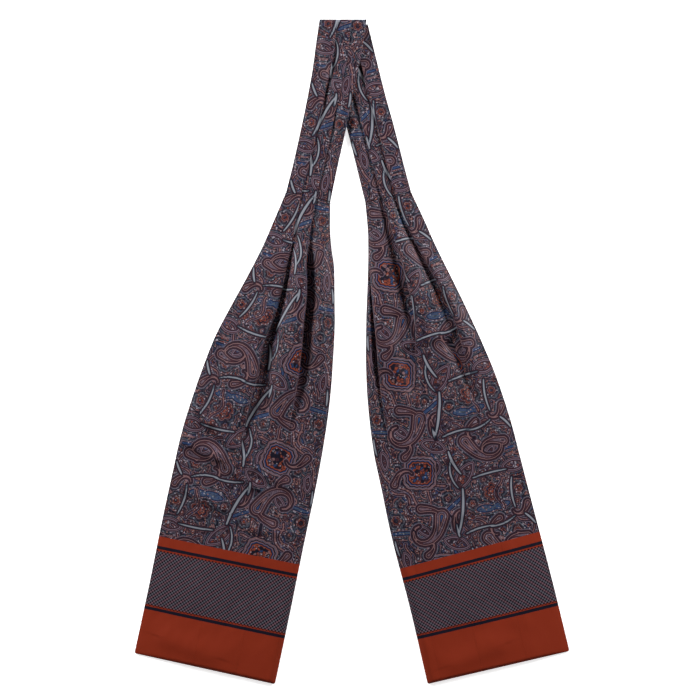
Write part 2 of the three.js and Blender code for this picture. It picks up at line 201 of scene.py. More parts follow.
class CravatSizes(bpy.types.PropertyGroup):
    """Sizes and colours of the cravat"""

    spacing: metres("Mesh spacing", "Distance between the cloth's points", 0.00108, 0.0005)
    cloth: metres("Cloth thickness", "Thickness of the silk", 0.0004, 0.0001)
    stitch: metres("Stitch length", "Length of one stitch of the neck seams", 0.0026, 0.0005)
    thread: metres("Thread thickness", "Diameter of the sewing thread", 0.00045, 0.0001)
    ground: dye("Ground", "Dark ground of the print", (0.078, 0.06, 0.095))
    navy: dye("Navy", "Navy of the outlines and stripes", (0.045, 0.038, 0.09))
    rust: dye("Rust", "Rust of the motifs", (0.42, 0.19, 0.13))
    hem_rust: dye("Border rust", "Rust of the stripes and the hem", (0.44, 0.135, 0.06))
    rose: dye("Dusty rose", "Dusty rose of the motifs", (0.395, 0.285, 0.29))
    wine: dye("Wine", "Wine red of the motifs", (0.2, 0.105, 0.13))
    mauve: dye("Mauve", "Mauve of the fine lines", (0.35, 0.295, 0.34))
    silver: dye("Silver", "Silver grey of the stems", (0.43, 0.435, 0.465))
    blue: dye("Steel blue", "Steel blue of the leaves", (0.13, 0.2, 0.33))
    slate: dye("Slate", "Grey green of the small leaves", (0.225, 0.25, 0.29))
    peach: dye("Peach", "Small light beads of the print", (0.5, 0.35, 0.3))
    light: dye("Light grey", "Lightest beads of the print", (0.53, 0.5, 0.54))
    band_dark: dye("Band dark", "Dark squares of the border", (0.03, 0.02, 0.045))
    band_rose: dye("Band rose", "Rose stripes of the border's ground", (0.345, 0.25, 0.285))
    band_grey: dye("Band grey", "Lilac grey stripes of the border's ground", (0.285, 0.275, 0.31))
    key_power: watts("Key lights", "Power of each of the two low key lights", 41)
    fill_power: watts("Fill light", "Power of the fill light", 3)


def sizes():
    """The scene's sizes and colours"""
    return bpy.context.scene.cravat


# The photo's frame: millimetres to a pixel, and the place of its middle in the object's frame
PIXEL = 0.9655
FRAME_WIDTH = 700 * PIXEL * MM
CAMERA_AIM = (-2.0 * PIXEL * MM, 1.5 * PIXEL * MM)
CAMERA_HEIGHT, CAMERA_REACH, SENSOR = 3.0, 10.0, 36.0
LAMPS = table("name place size power", [
    ("key_right", (1.15, 0.75, 0.52), 0.4, "key_power"),
    ("key_left", (-1.15, 0.75, 0.52), 0.4, "key_power"),
    ("fill", (0.0, 0.3, 2.2), 1.6, "fill_power"),
])
WORLD_STRENGTH = 0.09
FLOOR_COLOR, FLOOR_GLOW, FLOOR_WIDTH = (0.97, 0.97, 0.97), 0.7, 40.0
THREAD_COLOR, THREAD_LIFT, STITCH_SHARE = (0.1, 0.08, 0.11), 0.1, 0.36


def sample(rows, key, at):
    """The table's columns as arrays, on a smooth curve through its rows"""
    keys = np.array([row[key] for row in rows], float)
    at = np.asarray(at, float)
    i = np.clip(np.searchsorted(keys, at) - 1, 0, len(rows) - 2)
    before, after = np.maximum(i - 1, 0), np.minimum(i + 2, len(rows) - 1)
    span = keys[i + 1] - keys[i]
    t = (at - keys[i]) / span
    columns = {}
    for name in rows[0]:
        y = np.array([row[name] for row in rows], float)
        slope_a = (y[i + 1] - y[before]) / (keys[i + 1] - keys[before]) * span
        slope_b = (y[after] - y[i]) / (keys[after] - keys[i]) * span
        columns[name] = (y[i] * (2 * t**3 - 3 * t**2 + 1) + slope_a * (t**3 - 2 * t**2 + t)
                         + y[i + 1] * (3 * t**2 - 2 * t**3) + slope_b * (t**3 - t**2))
    return columns


def quarter_round(share):
    """Height of a quarter circle, from 0 at its side to 1"""
    return np.sqrt(1 - (1 - np.clip(share, 0, 1)) ** 2)


def eased(share):
    """A smooth climb from 0 to 1"""
    share = np.clip(share, 0, 1)
    return share * share * (3 - 2 * share)


# First places in from the cloth's edge, as shares of the distance between points
EDGE_STEPS = (0.12, 0.4)
# A strip climbs from its valley after a flat start; the first one starts low, at a share of its
# crest's height, and the last one has a hump in its middle
CLIMB_START, CLIMB_POWER, FIRST_BASE = 0.17, 2.2, 0.12
HUMP_PEAK, HUMP_FALL = 0.5, 0.75
# A fold edge rolls over in so many columns, leans out a little and stops short of the valley
ROLL_COLUMNS, ROLL_LEAN, ROLL_END, ROLL_LIMIT = 9, 0.24, 0.96, 0.995
CREST_LIFT = 1.2


def strip_shares(count, first, last):
    """Places across a strip, closer together where it is the cloth's edge"""
    shares = np.arange(count) / count
    near = np.array([0, *EDGE_STEPS]) / count
    if first:
        shares = np.concatenate([near, shares[1:]])
    if last:
        shares = np.concatenate([shares, 1 - near[::-1]])
    return shares


def pleated_section(section, counts, lift=1.0):
    """Places across the cloth and heights, row by row, and the column where each strip starts.

    A strip rises from its valley to its fold edge, which rolls over towards the next valley."""
    folds = len(counts) - 1
    lap = section["lap"][:, None]
    lines = [section["edge0"], *(section[f"fold{k + 1}"] for k in range(folds)), section["edge1"]]
    bases = [EDGE_HEIGHT + FIRST_BASE * (section["crest1"] - EDGE_HEIGHT)]
    bases += [section[f"valley{k + 1}"] for k in range(folds)]
    xs, zs, starts = [], [], []
    for k in range(folds + 1):
        start, base = lines[k][:, None] + (lap if k else 0), bases[k][:, None]
        width = lines[k + 1][:, None] - start
        share = strip_shares(counts[k], k == 0, k == folds)[None, :]
        starts.append(sum(x.shape[1] for x in xs))
        xs.append(start + share * width)
        if k == folds:
            fall = 1 - HUMP_FALL * eased((share - HUMP_PEAK) / (1 - HUMP_PEAK))
            hump = eased(share / HUMP_PEAK) * fall
            zs.append(base + (section["ridge"][:, None] - base) * hump)
            break
        crest, valley = section[f"crest{k + 1}"][:, None], bases[k + 1][:, None]
        crest = valley + (crest - valley) * (lift if k else 1.0)
        risen = np.clip((share - CLIMB_START) / (1 - CLIMB_START), 0, 1)
        climb = 1 - (1 - risen) ** CLIMB_POWER if k else share
        zs.append(base + (crest - base) * climb)
        turn = np.append(np.arange(ROLL_COLUMNS) / ROLL_COLUMNS, ROLL_END)
        roll = np.sin(turn * np.pi / 2)[None, :]
        over = np.minimum(roll + ROLL_LEAN * np.sin(np.pi * roll), ROLL_LIMIT)
        xs.append(lines[k + 1][:, None] + lap * over)
        zs.append(valley + (crest - valley) * np.sqrt(1 - roll**2))
    return np.hstack(xs), np.hstack(zs), starts


def cloth_across(x, z, starts):
    """Place across the cloth under each point: what the folds hide is missing from view"""
    steps = np.hypot(np.diff(x, axis=1), np.diff(z, axis=1))
    across = np.hstack([np.zeros((len(x), 1)), np.cumsum(steps, axis=1)])
    hidden = np.maximum(TUBE_WIDTH - across[:, -1:], 0) / max(len(starts) - 1, 1)
    for start in starts[1:]:
        across[:, start:] += hidden
    return across


# Unevenness: how many waves, their height, and the shortest and the longest
BLADE_WAVES = ((7, 0.32, 26, 70), (9, 0.09, 8, 18))
BAND_WAVES = (6, 1, 9, 30)
BAND_UNEVEN = 0.1
WAVE_SQUASH = 0.6


def soft_waves(x, s, seed, count, height, shortest, longest):
    """Faint unevenness of cloth that lies loose"""
    draw = np.random.default_rng(seed)
    total = np.zeros(np.broadcast(x, s).shape)
    for _ in range(count):
        wave, turn = draw.uniform(shortest, longest), draw.uniform(0, np.pi)
        phase = draw.uniform(0, 7)
        place = x * np.cos(turn) + s * np.sin(turn) * WAVE_SQUASH
        total += np.sin(2 * np.pi * place / wave + phase)
    return total * height / math.sqrt(count)


def crease_height(creases, x, s):
    """Sum of the soft creases at each point"""
    total = np.zeros(np.broadcast(x, s).shape)
    for c in creases:
        dx, ds = c["x1"] - c["x0"], c["s1"] - c["s0"]
        along = np.clip(((x - c["x0"]) * dx + (s - c["s0"]) * ds) / (dx * dx + ds * ds), 0, 1)
        away = np.hypot(x - c["x0"] - along * dx, s - c["s0"] - along * ds)
        on_left = (x - c["x0"]) * ds > (s - c["s0"]) * dx
        width = np.where(on_left, c["width_left"], c["width_right"])
        total += c["height"] * np.exp(-((away / width) ** 2))
    return total


# The blade's cloth lies looser away from the neck seam, and is held again at the hem
HELD_TO, LOOSE_OVER, HEM_OVER, HEM_LOOSE = 15, 60, 40, 0.3
HEM_RINGS, UNDER_COLUMNS, UNDER_INSET = 9, 12, 0.5


def blade_rings(rows, creases, facing, counts, seed):
    """Rings round a blade, from the neck seam to the hem, and each point's place on the cloth"""
    spacing = sizes().spacing / MM
    flat_end = BLADE_LENGTH - HEM_ROUND
    hem = BLADE_LENGTH - HEM_ROUND * (1 - np.sin(np.linspace(0, 1, HEM_RINGS) * np.pi / 2))
    s = np.concatenate([np.arange(0, flat_end - spacing / 2, spacing), hem])
    section = sample(rows, "s", s)
    x, z, starts = pleated_section(section, counts, CREST_LIFT)
    left, right, down = x[:, :1].copy(), x[:, -1:].copy(), s[:, None]
    loose = np.clip((down - HELD_TO) / LOOSE_OVER, 0, 1)
    loose = loose * np.clip((BLADE_LENGTH - down) / HEM_OVER, HEM_LOOSE, 1)
    z = z + crease_height(creases, facing * x, down)
    for k, waves in enumerate(BLADE_WAVES):
        z = z + loose * soft_waves(x, down, seed + k, *waves)
    inward = np.clip(np.minimum(x - left, right - x) / EDGE_SLOPE, 0, 1)
    side = inward * (2 - inward)
    fall = quarter_round((BLADE_LENGTH - down) / HEM_ROUND)
    z = EDGE_HEIGHT + (z - EDGE_HEIGHT) * side * fall
    across = cloth_across(x, z, starts)
    slope0 = np.gradient(section["edge0"], s)[:, None]
    slope1 = np.gradient(section["edge1"], s)[:, None]
    share = (x - left) / (right - left)
    turn = slope0 + (slope1 - slope0) * share
    lean = turn / np.sqrt(1 + turn**2)
    steps = (lean[:, 1:] + lean[:, :-1]) / 2 * np.diff(x, axis=1)
    drift = np.hstack([np.zeros((len(s), 1)), np.cumsum(steps, axis=1)])
    drift -= np.take_along_axis(drift, np.argmin(np.abs(x), axis=1)[:, None], axis=1)
    along = down + drift
    past = np.maximum(CORNER - (BLADE_LENGTH - down), 0)
    inset = np.maximum(CORNER - np.sqrt(np.maximum(CORNER**2 - past**2, 0)), 0)
    squeeze = 1 - 2 * inset / (right - left)
    under = np.linspace(1, 0, UNDER_COLUMNS)[None, :]
    under_x = left + UNDER_INSET + (right - left - 2 * UNDER_INSET) * under
    under_across = TUBE_WIDTH + (1 - under) * TUBE_WIDTH
    ring_x = np.hstack([x, under_x]) * squeeze
    ring_z = np.hstack([z, np.zeros_like(under_x)])
    ring_y = -np.broadcast_to(down, ring_x.shape)
    points = np.stack([facing * ring_x, ring_y, ring_z], axis=2)
    cloth = np.stack([
        np.hstack([across, np.broadcast_to(under_across, under_x.shape)]),
        np.hstack([along, np.broadcast_to(down, under_x.shape)]),
    ], axis=2)
    return points, cloth, x.shape[1]


# The neckband's sides from top to bottom: how far in and how high, with the groove between layers
BAND_SIDES = np.array([(0.5, 1.75), (0.9, 1.5), (0.5, 1.25), (0.3, 0.9), (0.5, 0.4)])
SIDE_STEP, UNDER_EDGE = 0.6, 4
BAND_UNDER_COLUMNS, BAND_UNDER_INSET = 14, 1
BAND_RINGS, BAND_COUNTS = 150, (13, 13, 13)
# Rings round the neck fold, as shares of a quarter turn
FOLD_TURN = np.linspace(0.02, 0.94, 10)


def band_rings(rows, y, facing, seed):
    """Rings round one stretch of the neckband: its top strips, side grooves and underside"""
    row = sample(rows, "y0", y)
    width = np.hypot(row["x1"] - row["x0"], row["y1"] - row["y0"])
    shares = (row["fold1"], row["fold2"]) if facing > 0 else (1 - row["fold2"], 1 - row["fold1"])
    valleys = (row["valley1"], row["valley2"])[::facing]
    high = np.full_like(width, BAND_HIGH)
    section = {
        "edge0": np.zeros_like(width), "edge1": width, "lap": np.full_like(width, BAND_LAP),
        "fold1": shares[0] * width, "fold2": shares[1] * width,
        "crest1": high, "crest2": high, "ridge": high,
        "valley1": valleys[0], "valley2": valleys[1],
    }
    x, z, starts = pleated_section(section, BAND_COUNTS)
    wide = width[:, None]
    z = z + BAND_UNEVEN * soft_waves(x, y[:, None], seed, *BAND_WAVES)
    z = np.minimum(z, BAND_HIGH)
    side = quarter_round(np.minimum(x, wide - x) / BAND_ROUND)
    z = BAND_SHOULDER + (z - BAND_SHOULDER) * side
    across = cloth_across(x, z, starts)

    def every_ring(values):
        """The same values on each ring"""
        return np.tile(np.asarray(values, float), (len(y), 1))

    insets, heights = BAND_SIDES.T
    side_steps = SIDE_STEP * np.arange(1, len(insets) + 1)
    under = np.linspace(1, 0, BAND_UNDER_COLUMNS)
    under_x = BAND_UNDER_INSET + (wide - 2 * BAND_UNDER_INSET) * under
    ring_x = np.hstack([x, wide - insets, under_x, every_ring(insets[::-1])])
    ring_z = np.hstack([z, every_ring(heights), np.zeros_like(under_x), every_ring(heights[::-1])])
    round_it = np.hstack([
        across, every_ring(TUBE_WIDTH + side_steps),
        every_ring(TUBE_WIDTH + UNDER_EDGE + (TUBE_WIDTH - 2 * UNDER_EDGE) * (1 - under)),
        every_ring(2 * TUBE_WIDTH - side_steps[::-1]),
    ])
    share = ring_x / wide if facing > 0 else 1 - ring_x / wide
    px = row["x0"][:, None] + (row["x1"] - row["x0"])[:, None] * share
    py = row["y0"][:, None] + (row["y1"] - row["y0"])[:, None] * share
    return px, py, ring_z, round_it, x.shape[1]


def band_underside(x, y):
    """Height of the upper stretch's underside where it climbs onto the lower one"""
    lower_edge = sample(LOWER_BAND_ROWS, "y0", np.minimum(y, LOWER_BAND_END))["x0"]
    share = np.clip((x - lower_edge + BAND_CLEAR + BAND_RAMP) / BAND_RAMP, 0, 1)
    return BAND_LIFT * share**2 * (3 - 2 * share)


def distance_up(px, py, side):
    """Distance up the neckband from its seam, for each point"""
    x, y, tilt = SEAMS[side]
    cos, sin = turned(tilt)
    return (py - y) * cos - (px - x) * sin


def lower_band_rings():
    """The stretch that lies beneath, from the right blade's seam up to the neck fold"""
    y = np.linspace(LOWER_BAND_ROWS[0]["y0"], LOWER_BAND_END, BAND_RINGS)
    px, py, z, across, keep = band_rings(LOWER_BAND_ROWS, y, -1, 31)
    along = -distance_up(px, py, "right")
    return np.stack([px, py, z], axis=2), np.stack([across, along], axis=2), keep


def upper_band_rings():
    """The stretch that lies over it and turns down round its end at the neck fold"""
    over_end = LOWER_BAND_END + GAP
    radius = STACK / 2
    bulge = np.sin(FOLD_TURN * np.pi / 2)
    climb = np.linspace(UPPER_BAND_ROWS[0]["y0"], over_end, BAND_RINGS)
    y = np.concatenate([climb, [over_end + GAP], NECK_FOLD_Y - radius * (1 - bulge)])
    px, py, z, across, keep = band_rings(UPPER_BAND_ROWS, y, 1, 32)
    folded = np.arange(len(y)) >= len(climb)
    lifted = z + band_underside(px, py)
    shoulder = BAND_LIFT + BAND_SHOULDER
    whole = np.where(z < BAND_SHOULDER, z / BAND_SHOULDER * shoulder, BAND_LIFT + z)
    squash = np.concatenate([np.ones(len(climb) + 1), np.sqrt(1 - bulge**2)])[:, None]
    z = np.where(folded[:, None], radius + (whole - radius) * squash, lifted)
    along = -distance_up(px, py, "left")
    return np.stack([px, py, z], axis=2), np.stack([across, along], axis=2), keep


REPEAT_ALONG = 96.0
REPEAT_ACROSS = 140.0

# Motifs of one repeat in millimetres: u is across the cloth, p along it, heading and bend in
# degrees. A boteh's size is the radius of its body, a stroke's is half its thickness, and a
# rose's is its radius, with its length as the number of petals. A vine bends there and back.
Motif = namedtuple("Motif", "kind u p heading length bend size")
MOTIFS = [Motif(kind, *row) for kind, rows in {
    "boteh": [
        (52, 23, 112, 58, 250, 6.3), (91, 54, 62, 60, -230, 5.6), (34, 12, 12, 36, 150, 3.4),
        (128, 62, 200, 34, -160, 4.0), (14, 80, 300, 26, 130, 3.0), (64, 38, 262, 22, 120, 3.2),
        (106, 38, 160, 24, -170, 3.0), (136, 30, 120, 22, 150, 3.0), (30, 56, 330, 20, -160, 2.8),
    ],
    "leaf": [
        (49, 46, 24, 24, 10, 5.6), (72, 98, 308, 31, 12, 6.2), (121, 86, 8, 22, -12, 5.4),
        (26, 28, 30, 16, 30, 3.0), (104, 76, 330, 18, -25, 3.4), (60, 66, 100, 15, 25, 3.2),
        (8, 48, 75, 16, 30, 3.2),
    ],
    "stem": [
        (78, 2, 98, 44, 22, 1.05), (73, 60, 88, 25, -28, 0.95), (73, 69, 118, 29, -62, 0.65),
        (71, 45, 344, 28, 26, 0.65), (96, 44, 10, 26, -40, 0.65), (90, 90, 352, 34, 14, 0.65),
        (127, 2, 112, 30, -30, 0.7), (131, 40, 48, 14, 20, 0.8), (2, 36, 96, 14, -20, 0.8),
        (64, 46, 260, 12, 20, 0.8),
    ],
    "petal": [
        (56, 58, 74, 17, -14, 1.5), (76, 9, 146, 24, 10, 1.3), (88, 25, 4, 15, 10, 3.2),
        (103, 26, 2, 15, -10, 3.0), (104, 70, 356, 32, 6, 1.4), (0, 29, 4, 26, 10, 1.3),
        (20, 94, 40, 16, 30, 1.8),
    ],
    "medal": [
        (41, 74, 14, 0, 0, 11.8),
    ],
    "rose": [
        (106, 11, 10, 7, 0, 10.2), (8, 18, 15, 6, 0, 5.4), (131, 14, 20, 6, 0, 4.8),
        (120, 54, 0, 6, 0, 4.6), (84, 18, 30, 5, 0, 3.6), (88, 78, 0, 6, 0, 4.0),
        (58, 88, 20, 5, 0, 3.0), (112, 60, 40, 5, 0, 2.8), (36, 36, 10, 5, 0, 2.8),
        (20, 66, 30, 5, 0, 2.6), (62, 8, 0, 5, 0, 3.0), (16, 4, 0, 5, 0, 2.6),
        (100, 94, 0, 5, 0, 2.6),
    ],
    "vine": [
        (2, 54, 70, 30, 10, 0.75), (13, 80, 52, 34, -30, 0.75), (40, 93, 356, 24, -26, 0.75),
        (10, 86, 60, 34, -50, 0.6), (118, 96, 100, 34, 40, 0.5), (132, 66, 250, 34, 60, 0.5),
        (22, 8, 330, 44, 70, 0.55), (60, 52, 300, 30, 70, 0.45), (84, 34, 8, 40, 50, 0.45),
        (100, 82, 10, 40, -60, 0.45), (0, 60, 300, 30, 60, 0.4), (30, 40, 350, 26, 80, 0.4),
    ],
    "scroll": [
        (68, 30, 190, 26, 480, 0.5), (98, 64, 350, 26, -500, 0.5), (24, 40, 170, 24, 520, 0.5),
        (116, 76, 120, 24, 500, 0.45), (58, 80, 300, 22, -480, 0.45), (12, 62, 20, 22, 460, 0.45),
        (132, 92, 220, 22, -480, 0.45), (88, 4, 250, 20, 460, 0.45), (118, 34, 60, 22, -460, 0.45),
        (42, 4, 200, 20, 440, 0.45), (66, 18, 160, 18, -440, 0.45), (136, 48, 200, 20, 460, 0.45),
        (30, 88, 100, 18, 460, 0.45), (84, 68, 230, 18, -440, 0.45), (4, 8, 330, 18, 440, 0.45),
        (110, 50, 300, 18, -460, 0.45),
    ],
}.items() for row in rows]
FIELDS = ("boteh", "leaf", "medal", "stem", "scroll", "vine", "petal", "rose")
ECHOED = ("boteh", "leaf", "medal", "petal", "rose")
REACH = 12.0
SCROLL_STEPS, STROKE_STEPS = 26, 14
# Shares of a flower's radius, and the waves of a medallion's edge
ROSE_HEART, ROSE_PETAL = 0.72, 0.28
MEDAL_WAVE, MEDAL_WAVES = 0.35, 16


def motif_path(motif, steps):
    """Points and radii along a motif's curved centre line, from its round end to its tip"""
    kind, u, p, heading, length, bend, size = motif
    share = np.linspace(0, 1, steps + 1)
    if kind == "scroll":
        turning = bend * share**1.7
    elif kind == "boteh":
        turning = bend * share**2.1
    elif kind == "vine":
        turning = bend * np.sin(2 * np.pi * share)
    else:
        turning = bend * share
    angle = np.radians(heading + (turning[1:] + turning[:-1]) / 2)
    step = length / steps
    if kind == "scroll":
        step = step * (1.25 - 0.85 * (share[1:] + share[:-1]) / 2)
    du = np.concatenate([[0], np.cumsum(np.cos(angle) * step)])
    dp = np.concatenate([[0], np.cumsum(np.sin(angle) * step)])
    radius = {
        "boteh": size * (0.12 + 0.88 * (1 - share) ** 1.5),
        "leaf": size * np.sin(np.pi * share) ** 0.9,
        "petal": size * np.sin(np.pi * (0.08 + 0.84 * share)) ** 0.7,
        "stem": size * (1 - 0.5 * np.abs(2 * share - 0.9) ** 2.2),
        "scroll": np.full_like(share, size),
        "vine": np.full_like(share, size),
    }[kind]
    return u + du, p + dp, radius


def stroke_distance(u, p, motif):
    """Signed distance to a stroke whose radius changes along its centre line"""
    steps = SCROLL_STEPS if motif.kind == "scroll" else STROKE_STEPS
    path_u, path_p, radius = motif_path(motif, steps)
    nearest = np.full(u.shape, REACH)
    for i in range(steps):
        au, ap, bu, bp = path_u[i], path_p[i], path_u[i + 1], path_p[i + 1]
        du, dp = bu - au, bp - ap
        along = np.clip(((u - au) * du + (p - ap) * dp) / (du * du + dp * dp), 0, 1)
        away = np.hypot(u - au - along * du, p - ap - along * dp)
        nearest = np.minimum(nearest, away - radius[i] - along * (radius[i + 1] - radius[i]))
    return nearest


def rose_distance(u, p, motif):
    """Signed distance, about, to a flower with rounded petals"""
    u, p = u - motif.u, p - motif.p
    angle = np.arctan2(p, u) - np.radians(motif.heading)
    wave = np.abs(np.cos(angle * motif.length / 2))
    return np.hypot(u, p) - motif.size * (ROSE_HEART + ROSE_PETAL * wave**0.7)


def medal_distance(u, p, motif):
    """Signed distance, about, to a rounded square with a wavy edge"""
    cos, sin = turned(motif.heading)
    u, p = u - motif.u, p - motif.p
    a, b = u * cos + p * sin, p * cos - u * sin
    wave = MEDAL_WAVE * np.cos(MEDAL_WAVES * np.arctan2(b, a))
    return (np.abs(a) ** 4 + np.abs(b) ** 4) ** (1 / 4) - motif.size + wave


MEASURES = {"rose": rose_distance, "medal": medal_distance}


def print_fields(u, p):
    """Distance to the nearest motif of each kind, for arrays of cloth places in millimetres"""
    u, p = np.mod(u, REPEAT_ACROSS), np.mod(p, REPEAT_ALONG)
    fields = {kind: np.full(u.shape, REACH) for kind in FIELDS}
    for motif in MOTIFS:
        far = REACH + (motif.size if motif.kind in MEASURES else motif.length)
        measure, field = MEASURES.get(motif.kind, stroke_distance), fields[motif.kind]
        for shift_u in (-REPEAT_ACROSS, 0, REPEAT_ACROSS):
            for shift_p in (-REPEAT_ALONG, 0, REPEAT_ALONG):
                near = np.abs(u + shift_u - motif.u) < far
                near &= np.abs(p + shift_p - motif.p) < far
                if near.any():
                    found = measure(u[near] + shift_u, p[near] + shift_p, motif)
                    field[near] = np.minimum(field[near], found)
    fields["echo"] = np.min([fields[kind] for kind in ECHOED], axis=0)
    return fields


def place_blade(points, side):
    """Moves points from a blade's own frame to the object's frame"""
    x, y, tilt = SEAMS[side]
    cos, sin = turned(tilt)
    placed = points.copy()
    placed[..., 0] = x + points[..., 0] * cos - points[..., 1] * sin
    placed[..., 1] = y + points[..., 0] * sin + points[..., 1] * cos
    return placed


def ring_quads(first, rings, count):
    """Faces between rings of points, from the point numbered first"""
    r, c = np.meshgrid(np.arange(rings - 1), np.arange(count), indexing="ij")
    following = (c + 1) % count
    quads = np.stack([r * count + c, (r + 1) * count + c, (r + 1) * count + following,
                      r * count + following], axis=-1)
    return first + quads.reshape(-1, 4)


def enclosed(points, quads):
    """Signed volume between rings, which is below 0 when the faces point inwards"""
    a, b, c, d = (points[quads[:, k]] for k in range(4))
    return float((a * np.cross(b, c)).sum() + (a * np.cross(c, d)).sum()) / 6


# The inner side has every fourth point of the outer one, and keeps a little further in
INNER_STEP, INNER_SHRINK = 4, 0.015


def lowest_near(heights):
    """Lowest height within a few points each way, so a plainer inner side stays inside"""
    low = np.pad(heights, INNER_STEP, mode="edge")
    places = range(2 * INNER_STEP + 1)
    low = np.min([low[:, k:k + heights.shape[1]] for k in places], axis=0)
    return np.min([low[k:k + heights.shape[0]] for k in places], axis=0)


def cloth_shell(name, points, cloth, keep, under_start, side):
    """A closed shell of thin cloth: its outer side at full detail and a plainer inner side"""
    wall = sizes().cloth / MM
    rings, count = points.shape[:2]
    rows = np.unique(np.append(np.arange(2, rings - 3, INNER_STEP), rings - 4))
    top = np.unique(np.append(np.arange(1, keep - 1, INNER_STEP), keep - 2))
    below = np.arange(under_start, under_start + UNDER_COLUMNS)
    columns = np.concatenate([top, below])
    inner = points[np.ix_(rows, columns)].copy()
    inner[:, : len(top), 2] = lowest_near(points[:, :keep, 2])[np.ix_(rows, top)] - wall
    inner[:, len(top):, 2] += wall
    middle = inner.mean(axis=1, keepdims=True)
    inner[..., :2] += (middle[..., :2] - inner[..., :2]) * INNER_SHRINK
    shift = np.array([SHIFT_X, SHIFT_Y, 0.0])
    verts = np.vstack([points.reshape(-1, 3), inner.reshape(-1, 3)]) + shift
    verts[:, 2] = np.maximum(verts[:, 2], 0)
    outer_quads = ring_quads(0, rings, count)
    inner_quads = ring_quads(rings * count, len(rows), len(columns))
    caps = [list(range(count)), list(range((rings - 1) * count, rings * count))[::-1]]
    first, last = rings * count, rings * count + (len(rows) - 1) * len(columns)
    inner_caps = [list(range(first, first + len(columns))),
                  list(range(last, last + len(columns)))[::-1]]
    if enclosed(verts, outer_quads) < 0:
        outer_quads, caps = outer_quads[:, ::-1], [cap[::-1] for cap in caps]
    if enclosed(verts, inner_quads) > 0:
        inner_quads, inner_caps = inner_quads[:, ::-1], [cap[::-1] for cap in inner_caps]
    faces = outer_quads.tolist() + inner_quads.tolist() + caps + inner_caps
    mesh = bpy.data.meshes.new(name)
    mesh.from_pydata((verts * MM).tolist(), [], faces)
    smooth = np.ones(len(faces), bool)
    smooth[-len(caps + inner_caps):] = False
    mesh.polygons.foreach_set("use_smooth", smooth)
    all_cloth = np.vstack([cloth.reshape(-1, 2), cloth[np.ix_(rows, columns)].reshape(-1, 2)])
    write_print(mesh, all_cloth, side)
    piece = bpy.data.objects.new(name, mesh)
    bpy.context.collection.objects.link(piece)
    piece.data.materials.append(printed_silk())
    return piece


def write_print(mesh, cloth, side):
    """Stores each point's place on the print, its distance from the hem and the motifs near it.

    The cloth runs on over the neck fold, so the left half's print is turned by half a turn."""
    across = TUBE_WIDTH - cloth[:, 0]
    along = cloth[:, 1] if side == "right" else -NECK_LENGTH - cloth[:, 1]
    fields = print_fields(across, along)
    layers = {
        "cloth_place": (across, along, BLADE_LENGTH - cloth[:, 1]),
        "motifs_large": (fields["boteh"], fields["leaf"], fields["medal"]),
        "motifs_fine": (fields["stem"], fields["scroll"], fields["vine"]),
        "motifs_fill": (fields["petal"], fields["rose"], fields["echo"]),
    }
    for name, values in layers.items():
        layer = mesh.attributes.new(name, "FLOAT_VECTOR", "POINT")
        layer.data.foreach_set("vector", np.stack(values, axis=1).astype(np.float32).ravel())


def linear(color):
    """A colour as seen, as the shader's linear one"""
    return tuple(c / 12.92 if c <= 0.04045 else ((c + 0.055) / 1.055) ** 2.4 for c in color)


